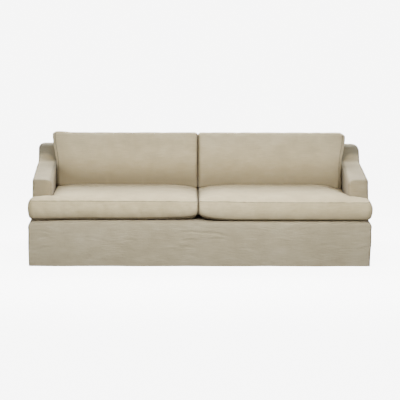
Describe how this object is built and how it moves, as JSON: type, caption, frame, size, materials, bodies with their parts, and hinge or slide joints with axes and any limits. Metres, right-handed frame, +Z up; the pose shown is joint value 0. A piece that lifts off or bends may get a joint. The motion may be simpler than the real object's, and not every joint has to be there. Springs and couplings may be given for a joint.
{
  "type": "sofa slipcover",
  "caption": "Fitted floor-length woven linen slipcover for a long low-armed sofa, hollow and open at the hem, with filled seat and back cushions in their own covers.",
  "frame": {"origin": "under the middle of the top of the cover's back, on the inner face of the cloth, where the back of a sofa carries it", "axes": "+X to the right as seen from the front, along the sofa's length; the front towards -Y; +Z up"},
  "size_m": [2.518, 0.9924, 0.8898],
  "materials": {
    "body_linen": "plain woven slubbed linen, natural flax colour, matt, a little slack and creased",
    "seat_linen": "the same linen, stretched over filled seat cushions with flat sewn seams",
    "back_linen": "the same linen, stretched over filled back cushions with flat sewn seams"
  },
  "bodies": {
    "root": {"front_skirt": "body_linen", "seat_deck": "body_linen", "inside_back": "body_linen", "outside_back": "body_linen", "inside_arm_left": "body_linen", "inside_arm_right": "body_linen", "arm_front_left": "body_linen", "arm_front_right": "body_linen", "outside_arm_left": "body_linen", "outside_arm_right": "body_linen", "seat_cushion_left": "seat_linen", "seat_cushion_right": "seat_linen", "back_cushion_left": "back_linen", "back_cushion_right": "back_linen"}
  },
  "joints": []
}
